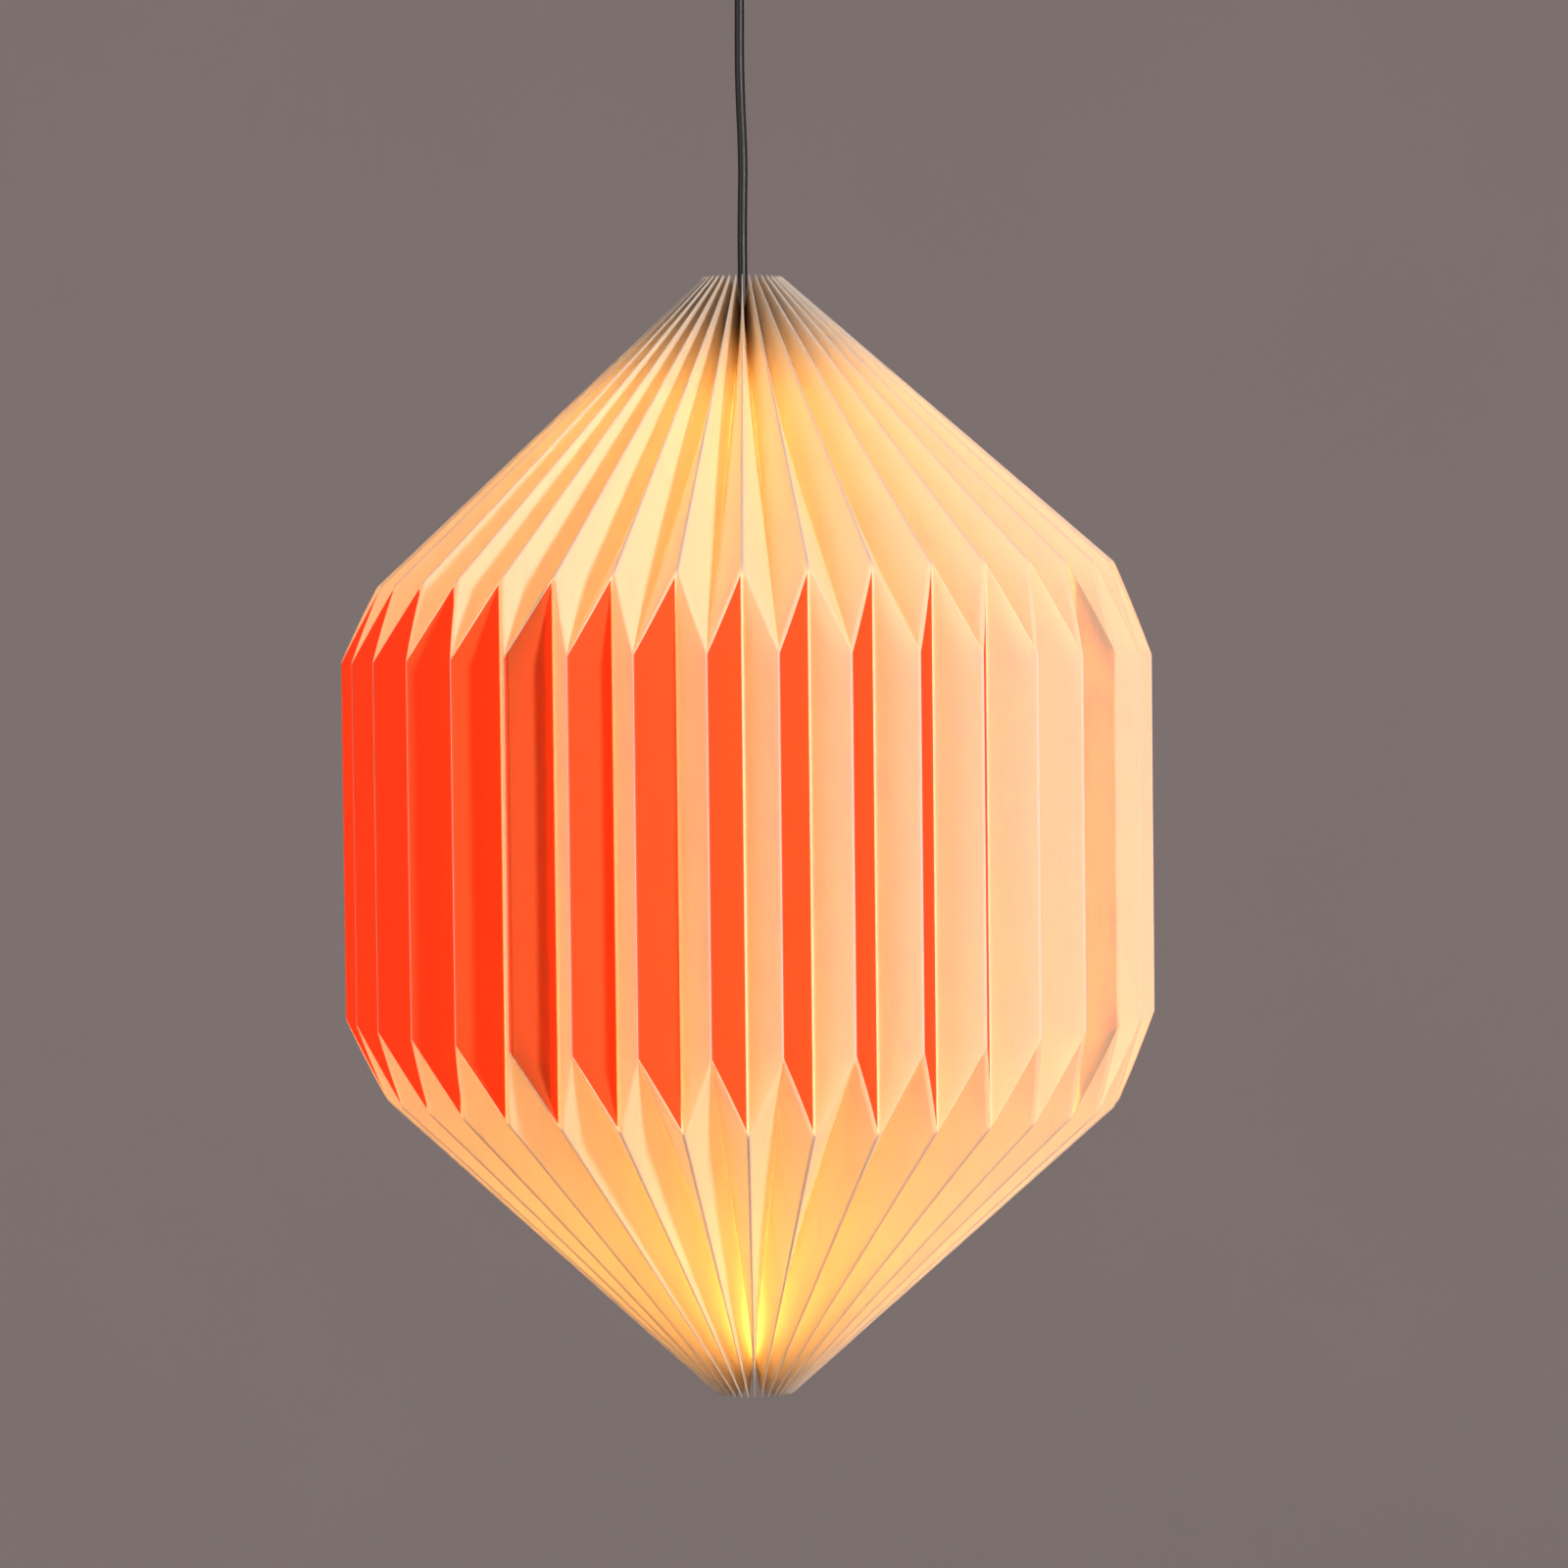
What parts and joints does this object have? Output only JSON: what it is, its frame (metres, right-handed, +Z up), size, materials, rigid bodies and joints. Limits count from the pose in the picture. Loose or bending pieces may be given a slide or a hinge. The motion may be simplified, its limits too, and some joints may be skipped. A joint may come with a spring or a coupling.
{
  "type": "pleated paper pendant lantern",
  "caption": "Hanging accordion-pleated paper lantern on a black cord, with a ceiling cup, a screw lampholder and a clear bulb inside.",
  "frame": {"origin": "centre of the ceiling bracket's top face, the face that is fastened to the ceiling", "axes": "+Z up, out of the ceiling face; the lamp hangs down along -Z; +X to the right and +Y away when seen from the front"},
  "size_m": [0.4022, 0.401, 0.7482],
  "materials": {
    "zinc_steel": "satin",
    "cup_paint": "satin",
    "black_plastic": "matte",
    "white_plastic": "satin",
    "cord_cover": "matte",
    "brown_core": "satin",
    "blue_core": "satin",
    "ceramic": "satin",
    "brass": "satin",
    "nickel": "satin",
    "solder": "satin",
    "black_glass": "gloss",
    "clear_glass": "gloss",
    "phosphor": "matte",
    "cream_paper": "matte",
    "white_thread": "matte"
  },
  "bodies": {
    "ceiling": {"ceiling_bracket": "zinc_steel", "terminal_block": "white_plastic", "live_core": "brown_core", "neutral_core": "blue_core"},
    "cup": {"ceiling_cup": "cup_paint", "cup_screw_left": "nickel", "cup_screw_right": "nickel", "cord_grip": "black_plastic", "grip_nut": "nickel", "grip_screw": "black_plastic", "cord_in_cup": "cord_cover"},
    "cord": {"cord": "cord_cover"},
    "holder": {"holder_nipple": "black_plastic", "holder_cap": "black_plastic", "holder_body": "black_plastic", "holder_insert": "ceramic", "live_terminal": "brass", "neutral_terminal": "brass", "holder_live_core": "brown_core", "holder_neutral_core": "blue_core", "screw_shell": "brass", "centre_contact": "brass"},
    "bulb_tip": {"bulb_tip": "solder"},
    "bulb": {"bulb_insulator": "black_glass", "bulb_cap": "nickel", "bulb_glass": "clear_glass", "bulb_stem": "clear_glass", "filament_1": "phosphor", "filament_2": "phosphor", "filament_3": "phosphor", "filament_4": "phosphor"},
    "shade": {"paper_sheet_1": "cream_paper", "paper_sheet_2": "cream_paper", "paper_sheet_3": "cream_paper", "paper_sheet_4": "cream_paper", "top_thread": "white_thread", "bottom_thread": "white_thread"}
  },
  "joints": [
    {"name": "cup_drop", "type": "slide", "parent": "ceiling", "child": "cup", "axis": [0, 0, -1], "range_m": [0, 0.04], "deforming": ["live_core", "neutral_core"]},
    {"name": "cord_sway", "type": "hinge", "parent": "cup", "child": "cord", "pos_m": [0, 0, -0.0458], "axis": [0, 1, 0], "range_deg": [-8, 8]},
    {"name": "holder_twist", "type": "hinge", "parent": "cord", "child": "holder", "pos_m": [0, 0, -0.2153], "axis": [0, 0, 1], "range_deg": [-180, 180]},
    {"name": "shade_lift", "type": "slide", "parent": "holder", "child": "shade", "axis": [0, 0, 1], "range_m": [0, 0.06]},
    {"name": "bulb_travel", "type": "slide", "parent": "holder", "child": "bulb_tip", "axis": [0, 0, -1], "range_m": [0, 0.018]},
    {"name": "bulb_turn", "type": "hinge", "parent": "bulb_tip", "child": "bulb", "pos_m": [0, 0, -0.26], "axis": [0, 0, -1], "range_deg": [0, 1800]}
  ],
  "couplings": [
    {"joint": "bulb_travel", "follows": "bulb_turn", "m_per_rad": 0.00057295}
  ]
}
